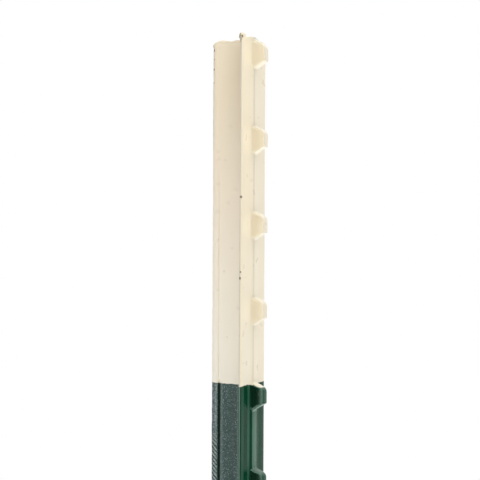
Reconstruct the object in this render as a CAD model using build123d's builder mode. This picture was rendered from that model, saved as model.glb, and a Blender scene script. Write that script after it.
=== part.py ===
from build123d import *
import os

os.makedirs("parts", exist_ok=True)

# Studded steel fence post of T section, standing upright, with its anchor plate.
# Frame: +Z up the post, +X the way the studs point, +Y across the flange.
# Origin: at the lower end, in the middle of the flange's front face.

# ---------------------------------------------------------------- dimensions, mm
LENGTH = 1829.0          # a six foot post, sheared to length

# rolled section
FACE_W = 34.9            # width of the flange
EDGE_T = 2.1             # thickness of the flange at its edges
ROOT_T = 4.2             # thickness of the flange beside the stem
EDGE_R = 0.7             # rounding of the flange's edges
ROOT_R = 2.6             # fillet between the flange and the stem
RIB_W = 6.2              # width of the raised rib that carries the studs
RIB_H = 0.85             # height of the rib above the flange's face
RIB_R = 0.35             # rounding of the rib's edges
RAMP = (0.5, 3.6, 5.6)   # the ramp at its foot: height, from and to, across the flange
RAMP_R = 2.0             # fillet at the ramp's foot
STEM_D = 28.9            # from the flange's face to the tip of the stem
STEM_ROOT = 3.4          # thickness of the stem beside the flange
STEM_TIP = 3.1           # thickness of the stem beside the groove
BEAD_W = 5.0             # thickness of the bead along the stem's tip
BEAD_L = 5.0             # its length along the stem
BEAD_R = 1.9             # rounding of the bead
GROOVE_L = 1.45          # length of the groove between stem and bead
NECK_W = 2.0             # thickness left in the groove

# studs
PITCH = 54.0             # from stud to stud
STUD_W = 6.8             # width of a stud
STUD_H = 7.3             # height of a stud above the rib
STUD_BASE = 17.7         # length of a stud at its foot
SLOPE_UP = 0.48          # run-in of the upper end for each mm of height
SLOPE_LOW = 0.60         # and of the lower end
CROWN_UP = 4.2           # rounding of the upper outer corner
CROWN_LOW = 1.1          # rounding of the lower outer corner
STUD_EDGE = 0.5          # rounding of the long edges of a stud
FIRST_STUD = 10.45       # from the top of the post to the middle of the first stud
STUDS = 34

# sheared top end, which the shear drew down: place, fall
STEM_FALL = [(-2.0, 0.0), (-3.6, 0.4), (-12.2, 0.5), (-15.2, 1.2), (-18.1, 0.75), (-22.4, 0.15), (-25.3, 0.9), (-30.0, 3.6)]
NEAR_FALL = [(-7.8, 0.0), (-10.4, 0.5), (-14.0, 1.3), (-19.0, 2.6)]
FAR_FALL = [(2.0, 0.0), (4.0, 0.3), (8.0, 0.35), (11.0, 0.6), (14.0, 1.0), (16.0, 1.4), (19.0, 2.4)]
# burr left standing on the near edge of the flange: thickness, length, height above the top
BURR = (1.7, 4.8, 0.8)
BURR_R = 0.7

# anchor plate, of sheet steel, with lugs lanced out of it and crimped on the bead
PLATE_W = 90.0
PLATE_H = 150.0
PLATE_T = 3.3
PLATE_Z = 215.0          # height of its lower edge above the post's lower end
PLATE_FOOT = 48.0        # width of its lower edge
PLATE_TAPER = 48.0       # height of its tapered part
PLATE_R = 5.0
LUG_H = 18.0
LUG_Z = (262.0, 318.0)   # lower ends of the two pairs of lugs
LUG_T = 2.6
WINDOW_W = 9.0           # length of sheet that each lug came out of

# ---------------------------------------------------------------- post
HALF = [
    (RIB_H, RIB_W / 2),
    (RAMP[0], RAMP[1]),
    (0.0, RAMP[2]),
    (0.0, FACE_W / 2),
    (-EDGE_T, FACE_W / 2),
    (-ROOT_T, STEM_ROOT / 2),
    (-STEM_D + BEAD_L + GROOVE_L, STEM_TIP / 2),
    (-STEM_D + BEAD_L + GROOVE_L - 0.4, NECK_W / 2),
    (-STEM_D + BEAD_L + 0.2, NECK_W / 2),
    (-STEM_D + BEAD_L, BEAD_W / 2),
    (-STEM_D, BEAD_W / 2),
]
ROUND = {0: RIB_R, 2: RAMP_R, 3: EDGE_R, 4: EDGE_R, 5: ROOT_R, 6: 0.4, 9: 0.7, 10: BEAD_R}

# one stud, rounded along its edges
x0, x1 = RIB_H - 0.5, RIB_H + STUD_H
up0, up1 = STUD_BASE / 2 + 0.5 * SLOPE_UP, STUD_BASE / 2 - SLOPE_UP * STUD_H
low0, low1 = STUD_BASE / 2 + 0.5 * SLOPE_LOW, STUD_BASE / 2 - SLOPE_LOW * STUD_H
with BuildPart() as stud:
    with BuildSketch(Plane.XZ) as side:
        with BuildLine():
            Polyline((x0, -low0), (x1, -low1), (x1, up1), (x0, up0), close=True)
        make_face()
        fillet(
            side.vertices().filter_by(lambda v: v.X > x1 - 1e-4 and v.Y > 0),
            radius=CROWN_UP,
        )
        fillet(
            side.vertices().filter_by(lambda v: v.X > x1 - 1e-4 and v.Y < 0),
            radius=CROWN_LOW,
        )
    extrude(amount=STUD_W / 2, both=True)
    rims = stud.edges().filter_by(
        lambda e: abs(abs(e.center().Y) - STUD_W / 2) < 1e-3
        and e.center().X > x0 + 0.01
    )
    fillet(rims, radius=STUD_EDGE)

# the burr, a curled lump on the near half
with BuildPart() as burr:
    with BuildSketch(Plane.XY.offset(LENGTH - 4.5)):
        with Locations((-EDGE_T / 2 - 0.05, -FACE_W / 2 + 0.4 + BURR[1] / 2)):
            RectangleRounded(BURR[0], BURR[1], BURR_R)
    extrude(amount=4.5 + BURR[2])
    fillet(burr.faces().sort_by(Axis.Z)[-1].edges(), radius=BURR_R)

with BuildPart() as post:
    # the rolled section, run the whole length
    with BuildSketch(Plane.XY) as section:
        with BuildLine():
            Polyline(*HALF, *[(x, -y) for x, y in reversed(HALF)], close=True)
        make_face()
        for index, radius in ROUND.items():
            x, y = HALF[index]
            corners = section.vertices().filter_by(
                lambda v: abs(v.X - x) < 1e-4 and abs(abs(v.Y) - y) < 1e-4
            )
            fillet(corners, radius=radius)
    extrude(amount=LENGTH)

    # the studs along the rib
    with Locations(
        *[(0, 0, LENGTH - FIRST_STUD - i * PITCH) for i in range(STUDS)]
    ):
        add(stud.part)

    # the shear's fall across the stem, then across the flange's two halves
    with BuildSketch(Plane.XZ) as drag:
        with BuildLine():
            Polyline(
                (STEM_FALL[0][0], LENGTH + 6),
                *[(x, LENGTH + 0.02 - fall) for x, fall in STEM_FALL],
                (STEM_FALL[-1][0], LENGTH + 6),
                close=True,
            )
        make_face()
    extrude(amount=6, both=True, mode=Mode.SUBTRACT)
    for falls in (NEAR_FALL, FAR_FALL):
        with BuildSketch(Plane.YZ.offset(-ROOT_T - ROOT_R)) as roll:
            with BuildLine():
                Polyline(
                    (falls[0][0], LENGTH + 6),
                    *[(y, LENGTH + 0.02 - fall) for y, fall in falls],
                    (falls[-1][0], LENGTH + 6),
                    close=True,
                )
            make_face()
        extrude(amount=ROOT_T + ROOT_R + RIB_H + 0.1, mode=Mode.SUBTRACT)

    add(burr.part)
post.part.label = "post"

# ---------------------------------------------------------------- anchor plate
BACK = -STEM_D
with BuildPart() as anchor_plate:
    with BuildSketch(Plane.YZ.offset(BACK - PLATE_T)) as sheet:
        with BuildLine():
            Polyline(
                (-PLATE_FOOT / 2, PLATE_Z),
                (PLATE_FOOT / 2, PLATE_Z),
                (PLATE_W / 2, PLATE_Z + PLATE_TAPER),
                (PLATE_W / 2, PLATE_Z + PLATE_H),
                (-PLATE_W / 2, PLATE_Z + PLATE_H),
                (-PLATE_W / 2, PLATE_Z + PLATE_TAPER),
                close=True,
            )
        make_face()
        fillet(sheet.vertices(), radius=PLATE_R)
        # the windows that the lugs were lanced out of
        for z in LUG_Z:
            with Locations(
                *[
                    (s * (BEAD_W / 2 + LUG_T + WINDOW_W / 2), z + LUG_H / 2)
                    for s in (-1, 1)
                ]
            ):
                Rectangle(WINDOW_W, LUG_H + 1.0, mode=Mode.SUBTRACT)
    extrude(amount=PLATE_T)
    # lugs, folded forward beside the bead and pressed into the groove behind it
    for z in LUG_Z:
        for s in (-1, 1):
            with BuildSketch(Plane.XY.offset(z)) as lug:
                with BuildLine():
                    Polyline(
                        (BACK - 1.2, s * (BEAD_W / 2 + 0.0)),
                        (BACK + BEAD_L + 0.05, s * (BEAD_W / 2 + 0.0)),
                        (BACK + BEAD_L + 0.4, s * (NECK_W / 2 + 0.15)),
                        (BACK + BEAD_L + GROOVE_L - 0.6, s * (NECK_W / 2 + 0.15)),
                        (BACK + BEAD_L + GROOVE_L - 0.1, s * (STEM_TIP / 2 + 0.2)),
                        (BACK + BEAD_L + GROOVE_L + 0.3, s * (BEAD_W / 2 + 0.6)),
                        (BACK + BEAD_L, s * (BEAD_W / 2 + LUG_T)),
                        (BACK - 1.2, s * (BEAD_W / 2 + LUG_T)),
                        close=True,
                    )
                make_face()
                fillet(
                    lug.vertices().filter_by(
                        lambda v: v.X > BACK + 1 and abs(v.Y) > BEAD_W / 2 + 0.3
                    ),
                    radius=0.7,
                )
            extrude(amount=LUG_H)
anchor_plate.part.label = "anchor_plate"

export_step(post.part, "parts/post.step")
export_step(anchor_plate.part, "parts/anchor_plate.step")
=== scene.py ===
import math

import bmesh
import bpy
import numpy as np
from mathutils import Matrix, Vector, noise
from mathutils.geometry import delaunay_2d_cdt


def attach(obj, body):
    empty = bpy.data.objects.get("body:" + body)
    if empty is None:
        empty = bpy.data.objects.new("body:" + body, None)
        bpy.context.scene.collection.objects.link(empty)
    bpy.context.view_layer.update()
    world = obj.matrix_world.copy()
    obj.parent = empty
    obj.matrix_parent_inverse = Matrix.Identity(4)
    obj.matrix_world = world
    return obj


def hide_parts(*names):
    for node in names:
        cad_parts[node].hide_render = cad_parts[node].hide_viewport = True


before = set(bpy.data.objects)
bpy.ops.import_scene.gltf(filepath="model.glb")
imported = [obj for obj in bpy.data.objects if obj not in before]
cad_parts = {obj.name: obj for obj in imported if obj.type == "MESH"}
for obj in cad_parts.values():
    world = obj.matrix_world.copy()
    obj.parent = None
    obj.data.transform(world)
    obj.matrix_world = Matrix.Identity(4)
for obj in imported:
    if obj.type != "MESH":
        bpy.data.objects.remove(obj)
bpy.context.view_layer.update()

scene = bpy.context.scene
scene.view_settings.view_transform = "Standard"
scene.view_settings.look = "None"
scene.view_settings.exposure = 0.0
scene.view_settings.gamma = 1.0

# Frame: +X the way the studs point, +Y across the flange, +Z up. Lengths below are in mm.
MM = 0.001
LENGTH = 1829.0
PITCH, FIRST, STUDS = 54.0, 10.45, 34
RIB_Y, RIB_H = 3.4, 0.85
STUD_H, HALF_BASE, SLOPE_UP, SLOPE_LOW = 7.3, 8.85, 0.48, 0.60


def smooth(a, b, x):
    t = min(max((x - a) / (b - a), 0.0), 1.0)
    return t * t * (3 - 2 * t)


def along(points, x):
    """The value at x on a line through (x, value) points."""
    return float(np.interp(x, [p[0] for p in points], [p[1] for p in points]))


def rough(x, y, z, size, seed):
    """Smooth noise from -1 to 1 with features of about size mm."""
    return noise.noise(Vector((x / size + seed * 7.31, y / size - seed * 3.17, z / size + seed)))


# ---------------------------------------------------------------- post: its rows
def corner(a, b, c, radius, steps):
    """Points of the arc that rounds the corner b of the line a, b, c."""
    a, b, c = (np.array(p, float) for p in (a, b, c))
    u, v = (a - b) / np.linalg.norm(a - b), (c - b) / np.linalg.norm(c - b)
    half = math.acos(max(-1, min(1, float(u @ v)))) / 2
    reach = radius / math.tan(half)
    p, q = b + u * reach, b + v * reach
    centre = b + (u + v) / np.linalg.norm(u + v) * radius / math.sin(half)
    r0, r1 = p - centre, q - centre
    turn = math.acos(max(-1, min(1, float(r0 @ r1) / radius**2)))
    return [
        centre
        + (math.sin((1 - t) * turn) * r0 + math.sin(t * turn) * r1) / math.sin(turn)
        for t in np.linspace(0, 1, steps + 1)
    ]


def stud_rows(fine):
    """(z, height above the rib) up a stud's outline, about its middle."""
    top = STUD_H
    line = [
        (-PITCH / 2, 0.0),
        (-HALF_BASE, 0.0),
        (-HALF_BASE + SLOPE_LOW * top, top),
        (HALF_BASE - SLOPE_UP * top, top),
        (HALF_BASE, 0.0),
        (PITCH / 2, 0.0),
    ]
    foot_low = corner(*line[0:3], 1.8, 4 if fine else 1)
    crown_low = corner(*line[1:4], 1.1, 5 if fine else 2)
    crown_up = corner(*line[2:5], 4.2, 8 if fine else 3)
    foot_up = corner(*line[3:6], 1.5, 4 if fine else 1)
    rows = []

    def between(p, q, n):
        rows.extend(p + (q - p) * k / (n + 1) for k in range(1, n + 1))

    rows += foot_low
    between(foot_low[-1], crown_low[0], 4 if fine else 1)
    rows += crown_low
    between(crown_low[-1], crown_up[0], 3 if fine else 1)
    rows += crown_up
    between(crown_up[-1], foot_up[0], 3 if fine else 1)
    rows += foot_up
    out = []
    for i, p in enumerate(rows):
        before, after = rows[max(i - 1, 0)], rows[min(i + 1, len(rows) - 1)]
        d = after - before
        out.append((float(p[0]), max(float(p[1]), 0.0), abs(float(d[0])) / float(np.hypot(*d))))
    return out


FINE, COARSE = stud_rows(True), stud_rows(False)
rows = []  # (z, height of the stud there, share of the outline's normal along +X)
for i in range(STUDS):
    centre = LENGTH - FIRST - i * PITCH
    fine = i < 6
    table = FINE if fine else COARSE
    rows += [(centre + z, h, n) for z, h, n in table]
    if i < STUDS - 1:
        hi = centre + table[0][0]
        lo = centre - PITCH + (FINE if i + 1 < 6 else COARSE)[-1][0]
        steps = 13 if fine else 4
        rows += [(hi + (lo - hi) * k / steps, 0.0, 1.0) for k in range(1, steps)]
RIM = [(0.0, 0.42), (0.13, 0.17), (0.34, 0.04), (0.62, 0.0)]  # depth, how far it is drawn in
first_up = LENGTH - FIRST + FINE[-1][0]
rows += [(LENGTH - d, 0.0, 1.0) for d, _ in RIM]
rows.append(((LENGTH - RIM[-1][0] + first_up) / 2, 0.0, 1.0))
rows += [(z, 0.0, 1.0) for z in (0.0, 0.12, 0.32, 0.6, 3.0, 8.0, 14.0, 20.0)]
rows = sorted(set(rows), reverse=False)
drawn_in = {LENGTH - d: k for d, k in RIM}
drawn_in.update({0.0: 0.42, 0.12: 0.17, 0.32: 0.04})


# ---------------------------------------------------------------- post: its section
RAMP_NEAR = [(3.3, 0.60), (3.7, 0.42), (4.2, 0.26), (4.7, 0.15), (5.3, 0.07), (6.0, 0.02), (6.9, 0.0)]
RAMP_FAR = [(3.3, 0.34), (3.7, 0.285), (4.2, 0.215), (4.7, 0.15), (5.3, 0.085), (6.0, 0.03), (6.9, 0.0)]


def face_x(y, ramp):
    """The flange's front face: a hollow ramp beside the rib, then flat, drawn back a little to the edge."""
    return along(ramp, y) - 0.003 * max(y - 7.5, 0.0) - 0.10 * smooth(13.4, 18.6, y)


BACK = corner((-2.1, 17.45), (-4.2, 1.7), (-22.4, 1.55), 2.6, 5)
BACK_R = 0.45


def half_section(height, nx, edge_r, ramp, lip_r):
    """The outline of one half, from the middle of the rib's front to the stem's tip, as (x, y)."""
    front = RIB_H + height
    sloped = 1 - smooth(0.6, 0.95, nx)
    ry = edge_r + (0.44 - edge_r + 0.55 * sloped) * smooth(0.0, 1.6, height)
    rx = min(ry / max(nx, 0.34), front - 0.5)
    side_y = RIB_Y - 0.32 * (1 - smooth(0.0, 2.0, height))
    yc = side_y - ry
    crown = 0.09 + 0.05 * smooth(1.0, 6.0, height)
    pts = [(front, 0.0), (front - 0.12 * crown, yc * 0.36), (front - 0.5 * crown, yc * 0.72), (front - crown, yc)]
    for a in (22.5, 45.0, 67.5, 90.0):
        t = math.radians(a)
        pts.append((front - rx + (rx - crown) * math.cos(t), yc + ry * math.sin(t)))
    # the studs' sides flare out hollow to their foot
    flare = 0.86 * smooth(0.3, 3.0, height)
    x0, x1 = front - rx, ramp[0][1] - 0.08
    for t in (0.2, 0.4, 0.6, 0.8, 1.0):
        x = x0 + (x1 - x0) * t
        pts.append((x, side_y + flare * (max(7.9 - x, 0.0) / 6.3) ** 2))
    foot = pts[-1][1]
    pts += [(face_x(foot + 0.2, ramp) + 0.08 * flare, foot + 0.2), (face_x(foot + 0.5, ramp), foot + 0.5)]
    pts += [(face_x(y, ramp), y) for y in (5.3, 5.9, 6.8, 8.0, 10.0, 12.2, 14.5)]
    tip = face_x(17.45 - lip_r, ramp)
    for a in (0, 22, 45, 68, 90):
        t = math.radians(a)
        pts.append((tip - lip_r + lip_r * math.cos(t), 17.45 - lip_r + lip_r * math.sin(t)))
    start = tip - lip_r
    pts += [(start + (-1.5 - start) * t, 17.45) for t in (0.21, 0.40, 1.0)]
    for a in (90, 112, 135, 158, 176):
        t = math.radians(a)
        pts.append((-2.1 + BACK_R + BACK_R * math.cos(t), 17.45 - BACK_R + BACK_R * math.sin(t)))
    pts += [(-2.75, 12.6), (-3.25, 8.6)]
    pts += [(float(p[0]), float(p[1])) for p in BACK]
    pts += [(x, 1.7 - 0.15 * (x + 4.2) / -18.2) for x in (-9.4, -12.6, -15.8, -19.2)]
    pts += [
        (-22.14, 1.56),
        (-22.5, 1.42),
        (-22.78, 0.98),
        (-23.1, 0.66),
        (-23.46, 0.86),
        (-23.66, 1.5),
        (-23.80, 2.1),
        (-24.1, 2.42),
        (-24.8, 2.53),
        (-25.7, 2.5),
        (-26.7, 2.34),
        (-27.7, 1.94),
        (-28.45, 1.3),
        (-28.84, 0.5),
    ]
    return pts


N_HALF = len(half_section(0, 1, 0.3, RAMP_NEAR, 0.66))
COLS = 2 * N_HALF - 1
FRONT_COLS = 15  # columns of one half that lie on the rib or stud


def section(height, nx):
    far, near = half_section(height, nx, 0.14, RAMP_FAR, 1.0), half_section(height, nx, 0.46, RAMP_NEAR, 0.66)
    return np.array(far + [(x, -y) for x, y in reversed(near[1:])], float)


# how far the shear drew the top end down, by place
STEM_DROP = [
    (-28.9, 2.8), (-28.3, 2.2), (-27.2, 1.45), (-25.3, 0.9), (-22.4, 0.1), (-18.1, 0.75),
    (-15.2, 1.25), (-12.2, 0.45), (-9.3, 0.6), (-6.0, 0.5), (-4.0, 0.4),
]
FAR_DROP = [(0.0, -0.6), (1.6, 0.1), (3.0, 0.3), (8.0, 0.35), (11.0, 0.6), (14.0, 1.0), (16.0, 1.4), (17.45, 2.0)]
NEAR_DROP = [(0.0, -0.6), (3.4, -0.4), (5.9, -0.3), (8.1, 0.0), (10.4, 0.5), (14.0, 1.3), (17.45, 2.2)]


def drop(x, y):
    flange = along(FAR_DROP, y) if y > 0 else along(NEAR_DROP, -y)
    return flange + (along(STEM_DROP, x) - flange) * smooth(-2.2, -6.0, x)


def paint_depth(x, y):
    """How far below the top the cream paint ends, in mm."""
    if x < -3.6 and abs(y) < 4.5:
        d = along([(-28.9, 218.7), (-25.0, 219.0), (-21.0, 219.2), (-6.0, 219.45)], x)
        return d if y < 0 else d - 0.8
    if y <= -3.15:
        if x > 1.6:
            return 218.9 + 1.1 * smooth(1.6, 4.6, x)
        return along([(-17.5, 218.8), (-13.0, 218.4), (-9.0, 218.2), (-5.0, 218.8)], y)
    if y < 3.15:
        return 220.4
    return 218.6


SPAN = LENGTH / 3 + 0.5  # the map has three lengths of the post side by side


class Post:
    def __init__(self):
        self.co, self.paint, self.mill, self.crest_highlight = [], [], [], []
        self.edge, self.broad, self.gap_shade = [], [], []
        self.faces, self.uvs = [], []

    def add(self, x, y, z, paint, mill, crest_highlight, edge, broad=0.0, gap_shade=0.0):
        self.co.append((x, y, z))
        self.paint.append(paint)
        self.mill.append(mill)
        self.crest_highlight.append(crest_highlight)
        self.edge.append(edge)
        self.broad.append(broad)
        self.gap_shade.append(gap_shade)
        return len(self.co) - 1


post = Post()
# where each column is on the map, measured round the middle of a stud
around = section(STUD_H, 1.0)
steps = np.hypot(*(np.roll(around, -1, axis=0) - around).T)
place = np.concatenate([[0.0], np.cumsum(np.maximum(steps, 0.12))])
ROUND = float(place[-1])
STRIP = ROUND + 3.0
SHEET = max(3 * STRIP + 44.0, SPAN + 3.0)

for z, height, nx in rows:
    sec = section(height, nx)
    tangent = np.roll(sec, -1, axis=0) - np.roll(sec, 1, axis=0)
    tangent /= np.linalg.norm(tangent, axis=1)[:, None] + 1e-12
    normal = np.stack([tangent[:, 1], -tangent[:, 0]], axis=1)
    inset = drawn_in.get(z, 0.0)
    depth = LENGTH - z
    for j in range(COLS):
        x, y = float(sec[j, 0]), float(sec[j, 1])
        k = j if j < N_HALF else COLS - j  # the column's place in its half
        nxj, nyj = float(normal[j, 0]), float(normal[j, 1])
        if -25.4 < x < -18.5:
            # the cream paint fills the groove, wholly near the top
            filled = along([(0, 1.0), (70, 1.0), (108, 0.76), (217.5, 0.70), (219.5, 0.0), (230, 0.0)], depth)
            level = 1.57 + 0.96 * smooth(-18.8, -25.6, x)
            y += math.copysign(max(level - abs(y), 0.0) * filled, y)
        on_front = k < FRONT_COLS
        on_stem = x < -6.8
        on_bead = x < -23.8
        # the mill's waves and the bead's unevenness
        out = 0.05 * rough(x, y, z, 42.0, 1) + 0.03 * rough(x, y, z, 13.0, 2)
        if on_front:
            out *= 0.5
        elif x > -0.3:
            out += 0.018 * rough(0.0, y, z * 0.03, 2.1, 31)
        if on_stem:
            out += 0.05 * rough(x, y, z, 6.5, 3)
        if on_bead:
            out += 0.11 * rough(x, y, z, 7.0, 4) + 0.10 * rough(x, y, z, 3.1, 5)
        if x < 0.1 and abs(y) > 16.7:
            out += (0.07 * rough(x, y, z, 9.0, 6) + 0.04 * rough(x, y, z, 3.7, 7)) * (1.0 if y < 0 else 0.15)
        # the shear's rolled lip below the top of the stem
        if x < -3.6 and abs(y) < 4.5:
            out += 0.34 * math.exp(-(((depth - 1.5) / 1.1) ** 2)) - 0.06 * math.exp(-(((depth - 4.6) / 1.4) ** 2))
        out -= inset
        x2, y2 = x + nxj * out, y + nyj * out
        fall = drop(x, y) * max(0.0, 1 - depth / 15.0) ** 2 if depth < 15 else 0.0
        z2 = z - fall
        if depth < 15:
            z2 += 0.16 * rough(x, y, 0.0, 2.6, 8) * max(0.0, 1 - depth / 2.0)
        mill = smooth(-5.0, -7.4, x)
        if -23.8 < x < -22.2 and depth > 217:
            mill = 0.2
        # painted highlight: the rib's front, the studs' sloped ends and their outer corners take a lighter green
        ends = smooth(0.86, 0.62, nx) * (1.0 if (z - LENGTH + FIRST + PITCH / 2) % PITCH < PITCH / 2 else 0.3)
        crest_highlight = (1.0 if k <= 3 else 0.75 if k <= 4 else 0.35 if k <= 6 else 0.0) * (1 - smooth(0.0, 0.8, height))
        crest_highlight = max(crest_highlight, ends if k <= 6 else 0.0)
        if height > 0.4:
            crest_highlight = max(crest_highlight, (0.26 if k <= 3 else 0.6 if k <= 5 else 1.0 if k <= 7 else 0.0) * smooth(0.4, 2.0, height))
        if height == 0.0 and y < -2.0 and 3 <= k <= 6:
            crest_highlight *= 0.7
        # painted highlight: a light line down the near flange edge
        if -1.66 < x < -0.95 and y < -17.4:
            crest_highlight = 0.55 if x > -1.2 else 1.1
        broad = smooth(0.45, 0.85, nxj) if x > -3 else 0.0
        edge = 1.0 if abs(y) > 16.95 or (on_front and 4 <= k <= 7) else 0.0
        gap_shade = 1.0 if x < -0.95 and abs(y) > 17.1 else 0.0
        post.add(x2, y2, z2, z2 - (LENGTH - paint_depth(x, y)), mill, crest_highlight, edge, broad, gap_shade)

n_rows = len(rows)
for i in range(n_rows - 1):
    strip = min(int((rows[i][0] + rows[i + 1][0]) / 2 / (LENGTH / 3)), 2)
    for j in range(COLS):
        j2 = (j + 1) % COLS
        post.faces.append((i * COLS + j, i * COLS + j2, (i + 1) * COLS + j2, (i + 1) * COLS + j))
        u0, u1 = place[j] + strip * STRIP + 1, place[j + 1] + strip * STRIP + 1
        v0, v1 = (rows[i][0] - strip * LENGTH / 3 + 1.5, rows[i + 1][0] - strip * LENGTH / 3 + 1.5)
        post.uvs += [(u0, v0), (u1, v0), (u1, v1), (u0, v1)]


def inside(poly, x, y):
    hit, n = False, len(poly)
    for a in range(n):
        (x1, y1), (x2, y2) = poly[a], poly[(a + 1) % n]
        if (y1 > y) != (y2 > y) and x < (x2 - x1) * (y - y1) / (y2 - y1) + x1:
            hit = not hit
    return hit


def far_from(poly, x, y, least):
    p = np.array(poly)
    q = np.roll(p, -1, axis=0)
    d = q - p
    t = np.clip(((x - p[:, 0]) * d[:, 0] + (y - p[:, 1]) * d[:, 1]) / (np.sum(d * d, axis=1) + 1e-12), 0, 1)
    return float(np.min(np.hypot(p[:, 0] + t * d[:, 0] - x, p[:, 1] + t * d[:, 1] - y))) > least


def cap(row, top):
    """Closes an end with the sheared face of the steel."""
    ring = [row * COLS + j for j in range(COLS)]
    poly = [(post.co[v][0], post.co[v][1]) for v in ring]
    extra = []
    gx = -28.2
    step = 0.62
    while gx < 1.3:
        gy = -17.2
        while gy < 17.2:
            px = gx + 0.16 * rough(gx, gy, 0, 0.9, 11)
            py = gy + 0.16 * rough(gx, gy, 9, 0.9, 12)
            if inside(poly, px, py) and far_from(poly, px, py, 0.34):
                extra.append((px, py))
            gy += step
        gx += step
    pts = [Vector(p) for p in poly + extra]
    got = delaunay_2d_cdt(pts, [], [list(range(COLS))], 1, 1e-6)
    index = {}
    for k, origins in enumerate(got[3]):
        o = min(origins) if origins else None
        if o is not None and o < COLS:
            index[k] = ring[o]
            continue
        x, y = got[0][k]
        if top:
            z = LENGTH - drop(x, y) + 0.16 * rough(x, y, 0.0, 2.6, 8)
            z += 0.12 * rough(x, y, 3.0, 1.3, 13) + 0.10
            paint = 200.0
        else:
            z = -0.10 - 0.12 * rough(x, y, 3.0, 1.3, 14)
            z = max(z, -0.25)
            paint = -1500.0
        index[k] = post.add(x, y, z, paint, 0.5, 0.0, 0.0)
    for tri in got[2]:
        t = [index[v] for v in tri]
        if not top:
            t = t[::-1]
        post.faces.append(tuple(t))
        left = 3 * STRIP + 2 + 30
        low = 22 if top else 62
        post.uvs += [(left + post.co[v][0], low + post.co[v][1] * (1 if top else -1)) for v in t]


cap(n_rows - 1, True)
cap(0, False)


# the burr that the shear left standing on the near half's edge: a small curl of steel
def burr():
    rings, segs = 22, 26
    cx, cy, cz = -1.75, -14.6, LENGTH - 0.75
    size = np.array([1.35, 3.75, 2.35])
    pit = np.array([-0.6, -16.6, LENGTH - 1.0])
    start = len(post.co)
    top = post.add(cx + 0.1, cy + 0.3, cz + size[2], 200, 0.2, 0, 0)
    for r in range(1, rings):
        phi = math.pi * r / rings
        for s in range(segs):
            th = 2 * math.pi * s / segs
            d = np.array([math.sin(phi) * math.cos(th), math.sin(phi) * math.sin(th), math.cos(phi)])
            # a squarish lump with a rolled crest
            power = 2.35
            k = (abs(d[0]) ** power + abs(d[1]) ** power + abs(d[2]) ** power) ** (-1 / power)
            p = d * k * size
            p[0] += 0.2 * p[2] / size[2]
            p[1] += 0.35 * p[2] / size[2]
            p[2] *= 1 - 0.20 * p[1] / size[1] if p[2] > 0 else 1.0
            p += d * (0.12 * rough(p[0], p[1], p[2], 1.6, 21) + 0.06 * rough(p[0], p[1], p[2], 0.7, 22))
            q = p + np.array([cx, cy, cz])
            gap = float(np.linalg.norm((q - pit) * np.array([0.8, 0.8, 1.0])))
            q += -d * 0.6 * math.exp(-((gap / 0.7) ** 2))
            post.add(*map(float, q), 200, 0.2, 0, 0)
    low = post.add(cx, cy, cz - float(size[2]), 200, 0.2, 0, 0)
    left, base = 3 * STRIP + 6, 86

    def uv(s, r):
        return (left + s / segs * 28, base + r / rings * 18)

    for s in range(segs):
        a, b = start + 1 + s, start + 1 + (s + 1) % segs
        post.faces.append((top, a, b))
        post.uvs += [uv(s + 0.5, 0), uv(s, 1), uv(s + 1, 1)]
        for r in range(rings - 2):
            o = r * segs
            post.faces.append((a + o, a + o + segs, b + o + segs, b + o))
            post.uvs += [uv(s, r + 1), uv(s, r + 2), uv(s + 1, r + 2), uv(s + 1, r + 1)]
        o = (rings - 2) * segs
        post.faces.append((b + o, a + o, low))
        post.uvs += [uv(s + 1, rings - 1), uv(s, rings - 1), uv(s + 0.5, rings)]


burr()

co = np.array(post.co, float)
mesh = bpy.data.meshes.new("t_post_skin")
mesh.from_pydata((co * MM).tolist(), [], post.faces)
for name, values in (("paint_line", post.paint), ("mill", post.mill), ("crest_highlight", post.crest_highlight), ("edge_wear", post.edge), ("broad", post.broad), ("gap_shade", post.gap_shade)):
    layer = mesh.attributes.new(name, "FLOAT", "POINT")
    layer.data.foreach_set("value", np.array(values, np.float32))
uv_layer = mesh.uv_layers.new(name="OFBake")
uv_layer.data.foreach_set("uv", (np.array(post.uvs, np.float32) / SHEET).ravel())
mesh.validate()
mesh.update()


def even_normals(mesh):
    """Vertex normals weighted by area, so that broad faces stay flat beside small roundings."""
    mesh.shade_smooth()
    n = len(mesh.vertices)
    c = np.empty(n * 3)
    mesh.vertices.foreach_get("co", c)
    c = c.reshape(-1, 3)
    total = np.zeros((n, 3))
    for p in mesh.polygons:
        v = list(p.vertices)
        a = np.zeros(3)
        for k in range(1, len(v) - 1):
            a += np.cross(c[v[k]] - c[v[0]], c[v[k + 1]] - c[v[0]])
        total[v] += a
    total /= np.linalg.norm(total, axis=1)[:, None] + 1e-20
    mesh.normals_split_custom_set_from_vertices(total.tolist())


even_normals(mesh)
skin = bpy.data.objects.new("t_post", mesh)
scene.collection.objects.link(skin)


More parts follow.
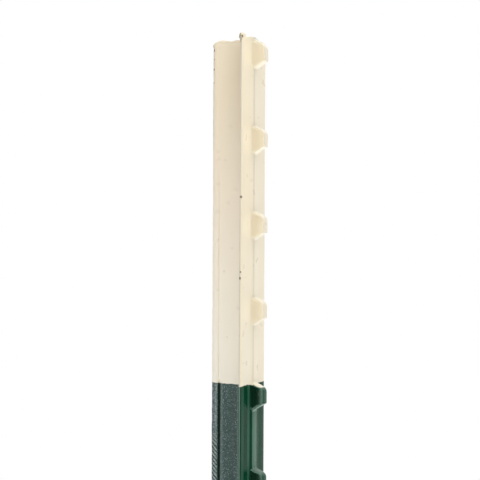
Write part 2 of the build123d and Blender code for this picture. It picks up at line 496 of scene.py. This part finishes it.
# ---------------------------------------------------------------- materials
class Graph:
    """A small helper for node trees."""

    def __init__(self, tree):
        self.tree = tree

    def node(self, kind, **props):
        n = self.tree.nodes.new(kind)
        for k, v in props.items():
            setattr(n, k, v)
        return n

    def put(self, socket, value):
        if hasattr(value, "is_output"):
            self.tree.links.new(value, socket)
        elif value is not None:
            socket.default_value = value

    def math(self, op, a, b=None, c=None, clamp=False):
        n = self.node("ShaderNodeMath", operation=op, use_clamp=clamp)
        for k, v in enumerate((a, b, c)):
            if v is not None:
                self.put(n.inputs[k], v)
        return n.outputs[0]

    def vmath(self, op, a, b=None, scale=None):
        n = self.node("ShaderNodeVectorMath", operation=op)
        self.put(n.inputs[0], a)
        if b is not None:
            self.put(n.inputs[1], b)
        if scale is not None:
            self.put(n.inputs["Scale"], scale)
        return n

    def span(self, value, a, b, lo=0.0, hi=1.0, smoothly=True):
        n = self.node("ShaderNodeMapRange", interpolation_type="SMOOTHSTEP" if smoothly else "LINEAR", clamp=True)
        for k, v in zip(("Value", "From Min", "From Max", "To Min", "To Max"), (value, a, b, lo, hi)):
            self.put(n.inputs[k], v)
        return n.outputs[0]

    def mix(self, factor, a, b):
        n = self.node("ShaderNodeMix", data_type="RGBA", clamp_factor=True)
        self.put(n.inputs[0], factor)
        self.put(n.inputs[6], a)
        self.put(n.inputs[7], b)
        return n.outputs[2]

    def blend(self, factor, a, b):
        n = self.node("ShaderNodeMix", data_type="FLOAT", clamp_factor=True)
        self.put(n.inputs[0], factor)
        self.put(n.inputs[2], a)
        self.put(n.inputs[3], b)
        return n.outputs[0]

    def noise(self, vector, scale, detail=2.0, rough=0.5, distort=0.0):
        n = self.node("ShaderNodeTexNoise", noise_dimensions="3D")
        self.put(n.inputs["Vector"], vector)
        for k, v in (("Scale", scale), ("Detail", detail), ("Roughness", rough), ("Distortion", distort)):
            self.put(n.inputs[k], v)
        return n.outputs[0]

    def attribute(self, name):
        n = self.node("ShaderNodeAttribute", attribute_type="GEOMETRY", attribute_name=name)
        return n.outputs["Fac"]

    def bump(self, height, distance, strength=1.0, normal=None):
        n = self.node("ShaderNodeBump")
        self.put(n.inputs["Height"], height)
        self.put(n.inputs["Distance"], distance)
        self.put(n.inputs["Strength"], strength)
        if normal is not None:
            self.put(n.inputs["Normal"], normal)
        return n.outputs[0]


def new_material(name):
    m = bpy.data.materials.new(name)
    m.use_nodes = True
    g = Graph(m.node_tree)
    shader = m.node_tree.nodes["Principled BSDF"]
    return m, g, shader


def col(r, g, b):
    return (r, g, b, 1.0)


# spots on the post, from the photo: place in mm, radius in mm
CHIPS = [
    (-28.0, -1.75, LENGTH - 6.4, 0.85), (-28.0, -1.75, LENGTH - 18.6, 0.8), (-28.1, -1.6, LENGTH - 27.0, 0.5),
    (-0.9, -17.4, LENGTH - 101.0, 0.75), (-1.6, -17.4, LENGTH - 151.5, 0.8), (-1.2, -17.4, LENGTH - 147.6, 0.55),
    (-0.8, -16.6, LENGTH - 1.0, 0.85), (0.75, -1.6, LENGTH + 0.3, 0.5),
]
# painted shade: dark spots along the burr's left side and the near flange edge's back corner, and one on the back of
# the bead near the top
SHADE_SPOTS = [
    (-2.0, -18.0, LENGTH + 0.5, 0.8), (-1.9, -18.1, LENGTH - 0.6, 1.0), (-1.8, -18.1, LENGTH - 1.9, 0.9),
    (-1.8, -17.6, LENGTH - 3.2, 0.8), (-1.7, -17.5, LENGTH - 4.3, 0.5), (-27.6, -2.0, LENGTH - 12.0, 0.4),
]
BLEMISHES = [
    (-16.0, -1.6, LENGTH - 56.0, 1.3), (-24.6, -2.5, LENGTH - 71.0, 1.2), (-24.0, -2.4, LENGTH - 76.0, 1.0),
    (-19.6, -1.6, LENGTH - 77.0, 0.9), (-12.2, -1.6, LENGTH - 96.0, 1.1), (-17.6, -1.6, LENGTH - 104.5, 1.2),
    (-24.2, -2.5, LENGTH - 92.0, 1.0), (-24.4, -2.5, LENGTH - 110.0, 1.1), (-14.6, -1.6, LENGTH - 133.0, 0.8),
    (-20.2, -1.6, LENGTH - 148.0, 0.9), (-10.6, -1.6, LENGTH - 171.0, 0.8), (-24.4, -2.4, LENGTH - 128.0, 1.0),
    (-24.3, -2.4, LENGTH - 160.0, 0.9), (-18.0, -1.6, LENGTH - 190.0, 0.8),
]


def spots(g, place, which, soft):
    total = None
    for x, y, z, r in which:
        d = g.vmath("DISTANCE", place, (x * MM, y * MM, z * MM)).outputs["Value"]
        s = g.span(d, r * MM * (1 - soft), r * MM * (1 + soft), 1.0, 0.0)
        total = s if total is None else g.math("MAXIMUM", total, s)
    return total


def post_material():
    m, g, shader = new_material("post_enamel_look")
    place = g.node("ShaderNodeTexCoord").outputs["Object"]
    split = g.node("ShaderNodeSeparateXYZ")
    g.put(split.inputs[0], place)
    x, y, z = split.outputs
    line = g.attribute("paint_line")
    mill = g.attribute("mill")
    crest_highlight = g.attribute("crest_highlight")
    worn = g.attribute("edge_wear")
    broad_face = g.attribute("broad")
    gap_shade = g.attribute("gap_shade")
    on_bead = g.span(x, -24.0 * MM, -24.4 * MM)

    fine = g.noise(place, 3100.0, 0.0, 0.5)
    grain = g.noise(place, 2800.0, 1.0, 0.60)
    cells = g.node("ShaderNodeTexVoronoi", voronoi_dimensions="3D", feature="F1")
    g.put(cells.inputs["Vector"], place)
    g.put(cells.inputs["Scale"], 1300.0)
    own = g.node("ShaderNodeSeparateColor")
    g.put(own.inputs[0], cells.outputs["Color"])
    grains = g.math("MULTIPLY", g.span(cells.outputs["Distance"], 0.50, 0.30), g.span(own.outputs[0], 0.25, 0.95))
    patch = g.noise(place, 110.0, 3.0, 0.55)
    broad = g.noise(place, 26.0, 2.0, 0.5)
    # long marks drawn out along the post by the rolls
    drawn = g.vmath("MULTIPLY", place, (1.0, 1.0, 0.05)).outputs[0]
    rolled = g.noise(drawn, 900.0, 3.0, 0.6)

    # cream down to the line, green below
    wobble = g.math("MULTIPLY_ADD", g.noise(place, 330.0, 2.0, 0.6), 0.9, -0.45)
    level = g.math("ADD", line, wobble)
    cream = g.span(level, -0.16, 0.16)

    # cream enamel
    tint = g.mix(g.span(broad, 0.35, 0.65), col(0.862, 0.752, 0.560), col(0.855, 0.755, 0.552))
    tint = g.mix(g.span(patch, 0.36, 0.66), tint, col(0.872, 0.760, 0.572))
    # painted light and shade on the stem: darker and yellower near the top, paler and greyer further down where a
    # painted sheen lightens it, and painted shade towards the flange
    down = g.span(z, 1.802, 1.733, smoothly=False)
    low = g.span(z, 1.733, 1.634, smoothly=False)
    flange_shade = g.span(x, -23.0 * MM, -8.0 * MM, smoothly=False)
    stem = g.mix(flange_shade, col(0.850, 0.742, 0.572), col(0.700, 0.600, 0.462))
    stem = g.mix(down, stem, g.mix(flange_shade, col(0.865, 0.762, 0.625), col(0.825, 0.722, 0.605)))
    stem = g.mix(low, stem, g.mix(flange_shade, col(0.893, 0.832, 0.728), col(0.868, 0.800, 0.697)))
    tint = g.mix(mill, tint, stem)
    # painted sheen: the flange's faces paler and bluer further down
    face = g.mix(low, col(0.866, 0.770, 0.592), col(0.862, 0.791, 0.643))
    # painted shadow: a dark line on the near side of the rib's front
    on_rib = g.math("MULTIPLY", g.span(x, 0.35 * MM, 0.6 * MM), g.span(x, 1.9 * MM, 1.2 * MM))
    shadow_line = g.math("MULTIPLY", g.math("MULTIPLY", g.span(y, -3.4 * MM, -2.5 * MM), g.span(y, -0.4 * MM, -1.4 * MM)), on_rib)
    # painted reflection: the rib, the far half and the studs' fronts take a greyer, less red cream, paler further down
    # (painted sheen)
    low_side = g.span(x, 1.9 * MM, 1.2 * MM)
    raised = g.mix(g.span(y, -5.2 * MM, -3.0 * MM), face, g.mix(low_side, col(0.806, 0.733, 0.594), g.mix(low, col(0.822, 0.748, 0.602), col(0.852, 0.776, 0.626))))
    raised = g.mix(g.math("MULTIPLY", shadow_line, 0.5), raised, col(0.62, 0.57, 0.46))
    tint = g.mix(broad_face, tint, raised)
    speck = g.math("MULTIPLY", g.span(grain, 0.58, 0.78), g.blend(mill, 0.05, 0.10))
    tint = g.mix(speck, tint, col(0.74, 0.63, 0.47))

    # painted shade along the back corner of the flange's edges beside the stem, and a darker line down the back of the
    # bead near the top
    tint = g.mix(g.math("MULTIPLY", gap_shade, 0.85), tint, col(0.60, 0.535, 0.455))
    line_down = g.math("MULTIPLY", g.span(x, -27.3 * MM, -28.3 * MM), g.span(z, 1.748, 1.772))
    tint = g.mix(g.math("MULTIPLY", line_down, 0.75), tint, col(0.42, 0.37, 0.32))

    # green enamel
    # painted light: the green's side faces take a dark copy (deep), the faces looking forward a lighter copy (front)
    deep = g.mix(g.span(patch, 0.35, 0.65), col(0.0007, 0.0190, 0.0074), col(0.0014, 0.0230, 0.0095))
    front = g.mix(g.span(patch, 0.35, 0.65), col(0.0026, 0.041, 0.0195), col(0.0040, 0.046, 0.0225))
    # painted sheen: a paler, rougher band beside the ramp and along the flange's outer edge, stronger on the near half
    across = g.math("ABSOLUTE", y)
    sheen_band = g.math("MULTIPLY", g.span(across, 5.0 * MM, 5.7 * MM), g.span(across, 8.9 * MM, 8.1 * MM))
    inner_sheen_band = g.math("MULTIPLY", sheen_band, broad_face)
    sheen_band = g.math("MAXIMUM", sheen_band, g.span(across, 13.4 * MM, 14.2 * MM))
    sheen_band = g.math("MULTIPLY", sheen_band, g.span(x, 0.6 * MM, 0.3 * MM))
    sheen_band = g.math("MULTIPLY", g.math("MULTIPLY", sheen_band, broad_face), g.span(y, -2.0 * MM, 4.0 * MM, 1.0, 0.42))
    front = g.mix(g.math("MULTIPLY", sheen_band, 0.85), front, g.mix(inner_sheen_band, col(0.010, 0.064, 0.035), col(0.022, 0.090, 0.053)))
    # the forward-looking faces take the lighter, painted-light copy
    deep = g.mix(broad_face, deep, front)
    streak = g.span(g.noise(g.vmath("MULTIPLY", place, (1.0, 1.0, 0.02)).outputs[0], 420.0, 2.0, 0.5), 0.38, 0.66)
    # the stem's grey mill grain together with a painted sheen: lighter grey standing for the rough reflection of the
    # key light
    grain_and_sheen = g.mix(g.span(grain, 0.42, 0.60), col(0.0125, 0.034, 0.030), col(0.067, 0.101, 0.101))
    grain_and_sheen = g.mix(g.math("MULTIPLY", grains, 0.68), grain_and_sheen, col(0.34, 0.40, 0.41))
    # painted sheen: the bead's flat face paler
    flat = g.math("MULTIPLY", g.span(x, -26.2 * MM, -25.3 * MM), g.span(x, -23.9 * MM, -24.4 * MM))
    grain_and_sheen = g.mix(g.blend(flat, g.math("MULTIPLY", on_bead, 0.10), 0.56), grain_and_sheen, col(0.20, 0.245, 0.25))
    grain_and_sheen = g.mix(g.math("MULTIPLY", streak, 0.25), grain_and_sheen, col(0.040, 0.058, 0.055))
    # painted sheen and shade: darker in the middle of the stem, paler beside the groove and beside the flange
    middle = g.math("MULTIPLY", g.span(x, -17.2 * MM, -15.4 * MM), g.span(x, -11.4 * MM, -14.2 * MM))
    grain_and_sheen = g.mix(g.math("MULTIPLY", middle, 0.42), grain_and_sheen, col(0.030, 0.046, 0.046))
    pale = g.math("MAXIMUM", g.math("MULTIPLY", g.span(x, -20.0 * MM, -21.2 * MM), g.span(x, -23.0 * MM, -22.4 * MM)), g.span(x, -10.9 * MM, -10.0 * MM))
    grain_and_sheen = g.mix(g.math("MULTIPLY", pale, 0.30), grain_and_sheen, col(0.22, 0.27, 0.262))
    # the bead's rope: painted highlights on the twists and painted shade between them, with the bump below for the
    # relief
    slant = g.math("MULTIPLY_ADD", x, 0.9, z)
    rope = g.math("SINE", g.math("MULTIPLY", g.math("MULTIPLY_ADD", g.noise(place, 300.0, 1.0, 0.5), 0.0018, slant), 2 * math.pi / (2.8 * MM)))
    roped = g.math("MULTIPLY", on_bead, g.span(z, 1.583, 1.568))
    grain_and_sheen = g.mix(g.math("MULTIPLY", roped, g.span(rope, -0.1, -0.8, 0.0, 0.85)), grain_and_sheen, col(0.010, 0.027, 0.023))
    grain_and_sheen = g.mix(g.math("MULTIPLY", roped, g.math("MULTIPLY", g.span(rope, 0.3, 0.9, 0.0, 0.9), g.span(g.noise(place, 700.0, 1.0, 0.5), 0.36, 0.58, 0.35, 1.0))), grain_and_sheen, col(0.43, 0.49, 0.49))
    # fine upright marks on the bead above them
    marks = g.span(g.noise(g.vmath("MULTIPLY", place, (1.0, 1.0, 0.22)).outputs[0], 1700.0, 1.0, 0.5), 0.50, 0.64)
    grain_and_sheen = g.mix(g.math("MULTIPLY", on_bead, g.math("MULTIPLY", grains, 0.6)), grain_and_sheen, col(0.46, 0.52, 0.53))
    grain_and_sheen = g.mix(g.math("MULTIPLY", g.math("SUBTRACT", on_bead, roped), g.math("MULTIPLY", marks, 0.5)), grain_and_sheen, col(0.36, 0.41, 0.42))
    green = g.mix(mill, deep, grain_and_sheen)
    # painted highlight colour on the crests, which are also a little rougher
    green = g.mix(g.math("MULTIPLY", crest_highlight, 0.9), green, col(0.094, 0.188, 0.139))
    chipped = g.math("MULTIPLY", worn, g.span(g.noise(place, 420.0, 3.0, 0.65), 0.63, 0.70))
    green = g.mix(g.math("MULTIPLY", chipped, 0.55), green, col(0.055, 0.060, 0.052))

    body = g.mix(cream, green, tint)
    # a pale lip where the cream ends over the green
    lip = g.math("MULTIPLY", g.span(level, -0.30, -0.08), g.span(level, 0.10, 0.34, 1.0, 0.0))
    body = g.mix(g.math("MULTIPLY", lip, 0.35), body, col(0.72, 0.66, 0.55))

    # chips down to the steel, spots of painted shade by the burr and the flange edge, and small lumps under the paint
    uneven = g.vmath("ADD", place, g.vmath("SCALE", g.vmath("SUBTRACT", g.node_colour(place, 1300.0), (0.5, 0.5, 0.5)).outputs[0], None, 0.0009).outputs[0]).outputs[0]
    chip = spots(g, uneven, CHIPS, 0.35)
    lump = spots(g, uneven, BLEMISHES, 0.75)
    shaded = spots(g, uneven, SHADE_SPOTS, 0.5)
    body = g.mix(g.math("MULTIPLY", shaded, 0.8), body, col(0.22, 0.185, 0.145))
    body = g.mix(g.math("MULTIPLY", chip, 0.9), body, col(0.10, 0.065, 0.045))
    body = g.mix(g.math("MULTIPLY", lump, 0.10), body, col(0.50, 0.42, 0.32))
    g.put(shader.inputs["Base Color"], body)

    # gloss
    smooth_green = g.math("MULTIPLY_ADD", patch, 0.06, g.blend(broad_face, 0.18, 0.15))
    mill_green = g.math("MULTIPLY_ADD", grain, 0.22, 0.30)
    rough_green = g.blend(mill, smooth_green, mill_green)
    rough_green = g.blend(crest_highlight, rough_green, 0.34)
    rough_green = g.blend(sheen_band, rough_green, 0.56)
    smooth_cream = g.math("MULTIPLY_ADD", patch, 0.04, 0.26)
    mill_cream = g.math("MULTIPLY_ADD", grain, 0.10, 0.38)
    rough_cream = g.blend(mill, smooth_cream, mill_cream)
    roughness = g.blend(cream, rough_green, rough_cream)
    roughness = g.blend(chip, roughness, 0.75)
    g.put(shader.inputs["Roughness"], roughness)
    shader.inputs["IOR"].default_value = 1.5
    shader.inputs["Specular Tint"].default_value = (0.72, 1.0, 0.86, 1.0)

    # relief: mill grain under thick enamel, the bead's rope marks, the paint's step
    peel = g.math("MULTIPLY", g.noise(place, 260.0, 1.0, 0.5), g.blend(cream, 0.030, 0.008))
    coarse = g.math("MULTIPLY", g.math("MULTIPLY", grain, mill), 0.13)
    tiny = g.math("MULTIPLY", g.math("MULTIPLY", fine, mill), 0.06)
    coarse = g.math("MULTIPLY", g.math("ADD", coarse, tiny), g.blend(cream, 1.0, 0.42))
    rope = g.math("MULTIPLY", rope, roped)
    rope = g.math("MULTIPLY", rope, 0.26)
    long_marks = g.math("MULTIPLY", rolled, g.blend(cream, 0.006, 0.002))
    height = g.math("ADD", g.math("ADD", peel, coarse), g.math("ADD", rope, long_marks))
    height = g.math("MULTIPLY_ADD", cream, 0.05, height)
    height = g.math("MULTIPLY_ADD", chip, -0.16, height)
    height = g.math("MULTIPLY_ADD", lump, 0.20, height)
    g.put(shader.inputs["Normal"], g.bump(height, 1.0 * MM))
    return m


def node_colour(self, vector, scale):
    n = self.node("ShaderNodeTexNoise", noise_dimensions="3D")
    self.put(n.inputs["Vector"], vector)
    self.put(n.inputs["Scale"], scale)
    self.put(n.inputs["Detail"], 1.0)
    return n.outputs["Color"]


Graph.node_colour = node_colour

skin.data.materials.append(post_material())
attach(skin, "root")
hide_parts("post")


# ---------------------------------------------------------------- anchor plate
def plate_material():
    m, g, shader = new_material("plate_enamel_look")
    place = g.node("ShaderNodeTexCoord").outputs["Object"]
    grain = g.noise(place, 650.0, 3.0, 0.62)
    patch = g.noise(place, 90.0, 3.0, 0.55)
    runs = g.noise(g.vmath("MULTIPLY", place, (1.0, 1.0, 0.16)).outputs[0], 160.0, 2.0, 0.5)
    deep = g.mix(g.span(patch, 0.35, 0.65), col(0.0024, 0.0175, 0.0085), col(0.0046, 0.026, 0.013))
    deep = g.mix(g.math("MULTIPLY", g.span(grain, 0.55, 0.75), 0.5), deep, col(0.020, 0.038, 0.030))
    worn = g.math("MULTIPLY", g.attribute("edge_wear"), g.span(g.noise(place, 380.0, 3.0, 0.65), 0.48, 0.62))
    deep = g.mix(g.math("MULTIPLY", worn, 0.6), deep, col(0.070, 0.074, 0.064))
    g.put(shader.inputs["Base Color"], deep)
    g.put(shader.inputs["Roughness"], g.math("MULTIPLY_ADD", grain, 0.20, 0.20))
    shader.inputs["IOR"].default_value = 1.5
    shader.inputs["Specular Tint"].default_value = (0.80, 1.0, 0.93, 1.0)
    height = g.math("ADD", g.math("MULTIPLY", grain, 0.05), g.math("MULTIPLY", runs, 0.10))
    g.put(shader.inputs["Normal"], g.bump(height, 1.0 * MM))
    return m


def spade():
    """The sheet with its windows, and the four lugs lanced out of it, edges rounded by the shear."""
    BACK, T, LOW, H = -28.9, 3.3, 215.0, 150.0
    verts, faces, wear = [], [], []

    def uneven(y, z):
        away = smooth(5.0, 14.0, abs(y))
        return (0.16 * rough(3.0, y, z, 46.0, 41) + 0.05 * rough(5.0, y, z, 11.0, 42)) * away

    def put(x, y, z, w):
        verts.append((x, y, z))
        wear.append(w)
        return len(verts) - 1

    def rounded(points, radius, steps):
        out = []
        for i, p in enumerate(points):
            out += corner(points[i - 1], p, points[(i + 1) % len(points)], radius, steps)
        return [(float(q[0]), float(q[1])) for q in out]

    def filled(points, gap):
        """Splits long sides of a loop."""
        out = []
        for i, p in enumerate(points):
            q = points[(i + 1) % len(points)]
            n = max(int(math.dist(p, q) / gap), 1)
            out += [(p[0] + (q[0] - p[0]) * k / n, p[1] + (q[1] - p[1]) * k / n) for k in range(n)]
        return out

    def inward(points, depth):
        """Moves a loop that runs anticlockwise inwards (a clockwise one outwards)."""
        p = np.array(points)
        d = np.roll(p, -1, axis=0) - p
        d /= np.linalg.norm(d, axis=1)[:, None] + 1e-12
        n = np.stack([-d[:, 1], d[:, 0]], axis=1)
        m = n + np.roll(n, 1, axis=0)
        m /= np.maximum(np.sum(m * m, axis=1), 1e-6)[:, None] / 2
        return p + m * depth

    outline = filled(rounded([(-24, LOW), (24, LOW), (45, LOW + 48), (45, LOW + H), (-45, LOW + H), (-45, LOW + 48)], 5.0, 8), 3.5)
    holes = []
    for z in (262.0, 318.0):
        for side in (-1, 1):
            a, b = sorted((side * 5.1, side * 14.1))
            holes.append(filled(rounded([(a, z - 0.5), (a, z + 18.5), (b, z + 18.5), (b, z - 0.5)], 0.9, 4), 2.6))
    loops = [outline] + holes
    r = 0.7
    rim = [(0.0, r, 0.35), (0.08, 0.62 * r, 0.9), (0.29 * r, 0.29 * r, 1.0), (0.62 * r, 0.06, 0.9), (r, 0.0, 0.3)]  # depth, inset, wear
    front_loops, back_loops = [], []
    for loop in loops:
        rings = [(BACK - d, k, w) for d, k, w in rim] + [(BACK - T + d, k, w) for d, k, w in reversed(rim)]
        index = []
        for x, inset, w in rings:
            place = inward(loop, inset)
            index.append([put(x + uneven(y, z), float(y), float(z), w) for y, z in place])
        n = len(loop)
        for a in range(len(rings) - 1):
            for j in range(n):
                j2 = (j + 1) % n
                faces.append((index[a][j], index[a + 1][j], index[a + 1][j2], index[a][j2]))
        front_loops.append(index[0])
        back_loops.append(index[-1])
    for loops_now, x_face, ahead in ((front_loops, BACK, True), (back_loops, BACK - T, False)):
        ring = [v for loop in loops_now for v in loop]
        polys = [[(verts[v][1], verts[v][2]) for v in loop] for loop in loops_now]
        grid = []
        z = LOW + 1.5
        while z < LOW + H:
            y = -44.0
            while y < 45:
                py, pz = y + 0.5 * rough(1, y, z, 2.0, 43), z + 0.5 * rough(2, y, z, 2.0, 44)
                if inside(polys[0], py, pz) and not any(inside(q, py, pz) for q in polys[1:]):
                    if all(far_from(q, py, pz, 1.2) for q in polys):
                        grid.append((py, pz))
                y += 3.4
            z += 3.4
        points = [Vector((verts[v][1], verts[v][2])) for v in ring] + [Vector(q) for q in grid]
        sides, base = [], 0
        for loop in loops_now:
            n = len(loop)
            sides += [(base + j, base + (j + 1) % n) for j in range(n)]
            base += n
        got = delaunay_2d_cdt(points, sides, [], 0, 1e-5)
        name = {}
        for k, origins in enumerate(got[3]):
            o = min(origins) if origins else None
            if o is not None and o < len(ring):
                name[k] = ring[o]
            else:
                y, z = got[0][k]
                name[k] = put(x_face + uneven(y, z), y, z, 0.0)
        for tri in got[2]:
            y = sum(got[0][v][0] for v in tri) / 3
            z = sum(got[0][v][1] for v in tri) / 3
            if not inside(polys[0], y, z) or any(inside(q, y, z) for q in polys[1:]):
                continue
            t = [name[v] for v in tri]
            p = [verts[v] for v in t]
            turn = (p[1][1] - p[0][1]) * (p[2][2] - p[0][2]) - (p[1][2] - p[0][2]) * (p[2][1] - p[0][1])
            if (turn > 0) != ahead:
                t = t[::-1]
            faces.append(tuple(t))

    # lugs: folded forward beside the bead and pressed into the groove behind it
    for low in (262.0, 318.0):
        for side in (-1, 1):
            shape = [(BACK - 1.6, 2.5), (BACK + 5.05, 2.5), (BACK + 5.4, 1.15), (BACK + 5.85, 1.15), (BACK + 6.35, 1.75), (BACK + 6.75, 3.1), (BACK + 5.0, 5.1), (BACK - 1.6, 5.1)]
            ring = []
            for i, p in enumerate(shape):
                if i in (0, 7):
                    ring.append(p)
                else:
                    radius = {1: 0.3, 2: 0.2, 3: 0.2, 4: 0.3, 5: 0.7, 6: 1.4}[i]
                    ring += [(float(q[0]), float(q[1])) for q in corner(shape[i - 1], p, shape[i + 1], radius, 4)]
            if side < 0:
                ring = [(x, -y) for x, y in reversed(ring)]
            if sum(ring[i - 1][0] * q[1] - q[0] * ring[i - 1][1] for i, q in enumerate(ring)) < 0:
                ring = ring[::-1]
            levels = [(0.0, 0.15, 0.6), (0.05, 0.07, 1.0), (0.15, 0.0, 0.9), (0.6, 0.0, 0.4)]
            steps = [(low + d, k, w) for d, k, w in levels] + [(low + t, 0.0, 0.1) for t in (3.5, 6.5, 9.0, 11.5, 14.5)]
            steps += [(low + 18.0 - d, k, w) for d, k, w in reversed(levels)]
            index = []
            for z, inset, w in steps:
                place = inward(ring, inset)
                row = []
                for (x, y), (x0, y0) in zip(place, ring):
                    bend = 0.10 * rough(x0, y0, z, 6.0, 45) * smooth(BACK, BACK + 3.0, x0) * (1.0 if abs(y0) > 3.0 else 0.2)
                    tip = 0.5 if x0 > BACK + 5.6 else 0.0
                    row.append(put(float(x) + bend, float(y) + math.copysign(abs(bend), y0), z, max(w, tip)))
                index.append(row)
            n = len(ring)
            for a in range(len(index) - 1):
                for j in range(n):
                    j2 = (j + 1) % n
                    faces.append((index[a][j], index[a][j2], index[a + 1][j2], index[a + 1][j]))
            for row, up in ((index[0], False), (index[-1], True)):
                pts = [Vector((verts[v][0], verts[v][1])) for v in row]
                got = delaunay_2d_cdt(pts, [], [list(range(n))], 1, 1e-6)
                z = verts[row[0]][2]
                name = [row[min(o)] if o else put(*got[0][k], z, 0.5) for k, o in enumerate(got[3])]
                for tri in got[2]:
                    t = [name[v] for v in tri]
                    faces.append(tuple(t if up else t[::-1]))

    mesh = bpy.data.meshes.new("anchor_spade_skin")
    mesh.from_pydata((np.array(verts, float) * MM).tolist(), [], faces)
    layer = mesh.attributes.new("edge_wear", "FLOAT", "POINT")
    layer.data.foreach_set("value", np.array(wear, np.float32))
    mesh.validate()
    mesh.update()
    even_normals(mesh)
    made = bpy.data.objects.new("anchor_spade", mesh)
    scene.collection.objects.link(made)
    made.data.materials.append(plate_material())
    return made


plate = spade()
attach(plate, "root")
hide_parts("anchor_plate")

# ---------------------------------------------------------------- stage
TURN = math.radians(25.3)
AHEAD = Vector((-math.sin(TURN), math.cos(TURN), 0.0))
RIGHT = Vector((math.cos(TURN), math.sin(TURN), 0.0))
UP = Vector((0.0, 0.0, 1.0))
DISTANCE = 0.80
ROLL = math.radians(0.28)
aim = RIGHT * (-8.80 * MM) + UP * 1.7013

camera_data = bpy.data.cameras.new("camera")
camera_data.sensor_width = 36.0
camera_data.lens = 94.8
camera_data.clip_start = 0.01
camera_data.clip_end = 60.0
camera = bpy.data.objects.new("camera", camera_data)
scene.collection.objects.link(camera)
side = RIGHT * math.cos(ROLL) + UP * math.sin(ROLL)
head = UP * math.cos(ROLL) - RIGHT * math.sin(ROLL)
at = aim - AHEAD * DISTANCE
camera.matrix_world = Matrix(
    (
        (side.x, head.x, -AHEAD.x, at.x),
        (side.y, head.y, -AHEAD.y, at.y),
        (side.z, head.z, -AHEAD.z, at.z),
        (0, 0, 0, 1),
    )
)
scene.camera = camera

# a soft white room: bright behind the post and overhead, dim at the sides and behind the camera
world = bpy.data.worlds.new("room")
scene.world = world
world.use_nodes = True
g = Graph(world.node_tree)
world.node_tree.nodes.clear()
where = g.node("ShaderNodeTexCoord").outputs["Generated"]
where = g.vmath("NORMALIZE", where).outputs[0]
split = g.node("ShaderNodeSeparateXYZ")
g.put(split.inputs[0], where)
wx, wy, wz = split.outputs
flat = g.math("SQRT", g.math("ADD", g.math("MULTIPLY", wx, wx), g.math("MULTIPLY", wy, wy)))
facing = g.math("DIVIDE", g.math("ADD", g.math("MULTIPLY", wx, AHEAD.x), g.math("MULTIPLY", wy, AHEAD.y)), g.math("MAXIMUM", flat, 1e-4))
behind = g.span(facing, math.cos(math.radians(61)), math.cos(math.radians(16)))
to_right = g.span(g.math("DIVIDE", wx, g.math("MAXIMUM", flat, 1e-4)), -0.35, 0.95)
high = g.math("ADD", g.math("MULTIPLY", g.span(wz, 0.22, 0.62), 0.83), g.math("MULTIPLY", g.span(wz, -0.22, -0.62), 1.50))
light = g.math("MAXIMUM", g.math("MULTIPLY", behind, 1.0), g.math("MULTIPLY", high, g.math("MULTIPLY_ADD", to_right, 1.25, 1.30)))
light = g.math("ADD", light, 0.05)
back = g.node("ShaderNodeBackground")
g.put(back.inputs["Strength"], light)
back.inputs["Color"].default_value = (1.0, 0.995, 0.985, 1.0)
plain = g.node("ShaderNodeBackground")
plain.inputs["Color"].default_value = (1, 1, 1, 1)
plain.inputs["Strength"].default_value = 1.0
chooser = g.node("ShaderNodeMixShader")
g.put(chooser.inputs[0], g.node("ShaderNodeLightPath").outputs["Is Camera Ray"])
g.put(chooser.inputs[1], back.outputs[0])
g.put(chooser.inputs[2], plain.outputs[0])
out = g.node("ShaderNodeOutputWorld")
g.put(out.inputs[0], chooser.outputs[0])


def softbox(name, direction, distance, z, width, height, radiance, colour=(1, 1, 1)):
    data = bpy.data.lights.new(name, "AREA")
    data.shape = "RECTANGLE"
    data.size, data.size_y = width, height
    data.energy = radiance * math.pi * width * height
    data.color = colour
    lamp = bpy.data.objects.new(name, data)
    scene.collection.objects.link(lamp)
    d = Vector((direction[0], direction[1], 0)).normalized()
    lamp.location = d * distance + Vector((0, 0, z))
    lamp.rotation_euler = d.to_track_quat("Z", "Y").to_euler()
    return lamp


softbox("key", (-0.4276, -0.904), 1.25, 1.60, 0.50, 0.56, 3.3)

floor_mesh = bpy.data.meshes.new("floor")
bm = bmesh.new()
bmesh.ops.create_circle(bm, cap_ends=True, segments=96, radius=3.2)
bm.to_mesh(floor_mesh)
bm.free()
floor = bpy.data.objects.new("floor", floor_mesh)
floor.location = (0, 0, -0.0004)
scene.collection.objects.link(floor)
fm, g, shader = new_material("pale_floor")
spot = g.node("ShaderNodeTexCoord").outputs["Object"]
away = g.vmath("LENGTH", spot).outputs["Value"]
g.put(shader.inputs["Base Color"], g.mix(g.noise(spot, 6.0, 2.0), col(0.80, 0.80, 0.79), col(0.83, 0.83, 0.82)))
shader.inputs["Roughness"].default_value = 0.6
g.put(shader.inputs["Alpha"], g.span(away, 1.0, 3.1, 1.0, 0.0))
floor_mesh.materials.append(fm)
